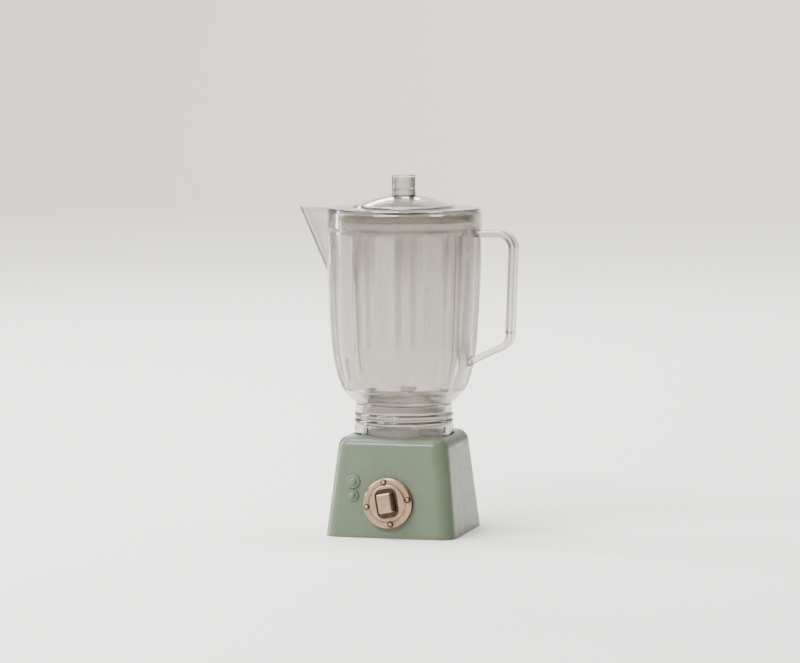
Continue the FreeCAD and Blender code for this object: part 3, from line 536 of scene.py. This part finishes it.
def floor_material(colour, azimuth):
    """Plain pale floor with painted shade that darkens it evenly towards both sides."""
    material, tree, shader, place = new_material("pale_floor")
    mapping = tree.nodes.new("ShaderNodeMapping")
    mapping.inputs["Rotation"].default_value = (0.0, 0.0, -azimuth)
    tree.links.new(place, mapping.inputs["Vector"])
    aside = maths(tree, "ABSOLUTE", split(tree, mapping.outputs["Vector"])[0])
    # Painted shade: the floor darkens towards both sides
    painted_side_shade = soft_step(tree, aside, *FLOOR_SIDE_FADE)
    tree.links.new(
        blend_colours(tree, painted_side_shade, colour, shade(colour, FLOOR_SIDE_SHADE)),
        shader.inputs["Base Color"])
    shader.inputs["Roughness"].default_value = FLOOR_ROUGHNESS
    return material


def dress(names, material):
    """Give nodes of the frame one finish."""
    for name in names:
        slots = NODES[name].data.materials
        slots.clear()
        slots.append(material)


# Steps

class TOYBLENDER_OT_base(bpy.types.Operator):
    """Paint the housing and finish the cover plate and its screws"""

    bl_idname = "toyblender.base"
    bl_label = "Base"

    def execute(self, context):
        finish = context.scene.toy_blender_finish
        dress(["base_housing"], paint_material(finish))
        rolled = steel_material(finish, "rolled_steel", PLATE_ROUGHNESS, PLATE_ROLLED_STRETCH)
        dress(["base_plate"], rolled)
        dress(["plate_screws"], steel_material(finish, "screw_steel", SMALL_STEEL_ROUGHNESS))
        return {"FINISHED"}


class TOYBLENDER_OT_dial(bpy.types.Operator):
    """Finish the dial's metal and the pieces behind it"""

    bl_idname = "toyblender.dial"
    bl_label = "Dial"

    def execute(self, context):
        finish = context.scene.toy_blender_finish
        dress(["dial_disc", "dial_grip", "dial_rivets"], copper_material(finish))
        turned = steel_material(finish, "turned_steel", SMALL_STEEL_ROUGHNESS)
        dress(["dial_spindle", "dial_clip"], turned)
        dress(["dial_washer"], washer_material())
        return {"FINISHED"}


class TOYBLENDER_OT_jug(bpy.types.Operator):
    """Make the jug, its collar and handle clear"""

    bl_idname = "toyblender.jug"
    bl_label = "Jug"

    def execute(self, context):
        finish = context.scene.toy_blender_finish
        dress(["jug_body"], clear_material(finish, "clear_jug_plastic", JUG_HAZE, fluted=True))
        dress(["jug_collar", "jug_handle"], clear_material(finish, "clear_plastic", TRIM_HAZE))
        return {"FINISHED"}


class TOYBLENDER_OT_lid(bpy.types.Operator):
    """Make the lid and its knob clear"""

    bl_idname = "toyblender.lid"
    bl_label = "Lid"

    def execute(self, context):
        finish = context.scene.toy_blender_finish
        dress(["lid", "lid_knob"], clear_material(finish, "clear_lid_plastic", TRIM_HAZE))
        return {"FINISHED"}


class TOYBLENDER_OT_stage(bpy.types.Operator):
    """Lay the floor, hang the lights and set the camera"""

    bl_idname = "toyblender.stage"
    bl_label = "Stage"

    def execute(self, context):
        stage = context.scene.toy_blender_stage
        self.lay_floor(stage)
        self.light_scene(context.scene)
        self.set_camera(context.scene, stage)
        return {"FINISHED"}

    def lay_floor(self, stage):
        """Pale floor that sweeps up behind the toy."""
        back = stage.floor_half * FLOOR_BACK_SHARE
        bpy.ops.object.select_all(action="DESELECT")
        bpy.ops.mesh.primitive_plane_add(size=2 * stage.floor_half, location=(0, 0, 0))
        floor = bpy.context.active_object
        floor.name = "floor"
        bpy.ops.object.mode_set(mode="EDIT")
        mesh = bmesh.from_edit_mesh(floor.data)
        for edge in mesh.edges:
            edge.select_set(all(v.co.y > back for v in edge.verts))
        mesh.select_flush_mode()
        bmesh.update_edit_mesh(floor.data)
        bpy.ops.mesh.select_mode(type="EDGE")
        bpy.ops.mesh.extrude_region_move(TRANSFORM_OT_translate={"value": (0, 0, stage.floor_half)})
        mesh = bmesh.from_edit_mesh(floor.data)
        for edge in mesh.edges:
            edge.select_set(all(v.co.y > back and v.co.z < FLOOR_FOLD_HEIGHT for v in edge.verts))
        bmesh.update_edit_mesh(floor.data)
        bpy.ops.mesh.bevel(offset=stage.sweep, segments=SWEEP_SEGMENTS, affect="EDGES")
        bpy.ops.mesh.select_all(action="SELECT")
        bpy.ops.mesh.normals_make_consistent(inside=False)
        bpy.ops.object.mode_set(mode="OBJECT")
        bpy.ops.object.shade_smooth()
        floor.data.materials.append(floor_material(tuple(stage.floor_colour), stage.azimuth))
        floor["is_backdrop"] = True

    def light_scene(self, scene):
        """Dim even room with soft area lights from the left, the front and above."""
        world = bpy.data.worlds.new("soft_room")
        world.use_nodes = True
        background = world.node_tree.nodes["Background"]
        background.inputs["Color"].default_value = (*ROOM_COLOUR, 1.0)
        background.inputs["Strength"].default_value = ROOM_STRENGTH
        scene.world = world
        for name, place, aim, (width, height), power in LIGHTS:
            data = bpy.data.lights.new(name, "AREA")
            data.shape = "RECTANGLE"
            data.size = width
            data.size_y = height
            data.energy = power
            light = bpy.data.objects.new(name, data)
            scene.collection.objects.link(light)
            light.location = place
            light.rotation_mode = "QUATERNION"
            light.rotation_quaternion = (Vector(aim) - Vector(place)).to_track_quat("-Z", "Y")

    def set_camera(self, scene, stage):
        """Camera at the photograph's angle, turned so that the toy falls where it does there."""
        low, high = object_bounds()
        turn, lift = stage.azimuth, stage.elevation
        back = Vector((
            math.sin(turn) * math.cos(lift), -math.cos(turn) * math.cos(lift), math.sin(lift)))
        right = Vector((math.cos(turn), math.sin(turn), 0))
        up = back.cross(right)
        middle = Vector((0, 0, (low.z + high.z) / 2))
        pixel = stage.distance / FOCAL_PX
        aside = (FRAME_WIDTH_PX / 2 - AXIS_X_PX) * pixel
        above = (MIDDLE_Y_PX - FRAME_HEIGHT_PX / 2) * pixel
        aim = middle + right * aside + up * above
        data = bpy.data.cameras.new("photo_camera")
        data.sensor_width = SENSOR_WIDTH_MM
        data.lens = SENSOR_WIDTH_MM * FOCAL_PX / FRAME_WIDTH_PX
        data.clip_start = CLIP_START
        data.clip_end = CLIP_END
        camera = bpy.data.objects.new("photo_camera", data)
        scene.collection.objects.link(camera)
        camera.location = middle + back * stage.distance
        camera.rotation_mode = "QUATERNION"
        camera.rotation_quaternion = (aim - camera.location).to_track_quat("-Z", "Y")
        scene.camera = camera


class TOYBLENDER_PT_panel(bpy.types.Panel):
    """Sizes, colours and steps that dress the toy blender"""

    bl_idname = "TOYBLENDER_PT_panel"
    bl_label = "Toy Blender"
    bl_space_type = "VIEW_3D"
    bl_region_type = "UI"
    bl_category = "Toy Blender"

    def draw(self, context):
        scene = context.scene
        column = self.layout.column()
        for group in (scene.toy_blender_finish, scene.toy_blender_stage):
            for name in type(group).__annotations__:
                column.prop(group, name)
        for operator in OPERATORS:
            column.operator(operator.bl_idname)


OPERATORS = (
    TOYBLENDER_OT_base,
    TOYBLENDER_OT_dial,
    TOYBLENDER_OT_jug,
    TOYBLENDER_OT_lid,
    TOYBLENDER_OT_stage,
)
CLASSES = (ToyBlenderFinish, ToyBlenderStage, *OPERATORS, TOYBLENDER_PT_panel)


def register():
    for item in CLASSES:
        bpy.utils.register_class(item)
    bpy.types.Scene.toy_blender_finish = PointerProperty(type=ToyBlenderFinish)
    bpy.types.Scene.toy_blender_stage = PointerProperty(type=ToyBlenderStage)


def unregister():
    del bpy.types.Scene.toy_blender_stage
    del bpy.types.Scene.toy_blender_finish
    for item in reversed(CLASSES):
        bpy.utils.unregister_class(item)


def main():
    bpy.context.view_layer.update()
    register()
    bpy.ops.toyblender.base()
    bpy.ops.toyblender.dial()
    bpy.ops.toyblender.jug()
    bpy.ops.toyblender.lid()
    bpy.ops.toyblender.stage()


if __name__ == "__main__":
    main()
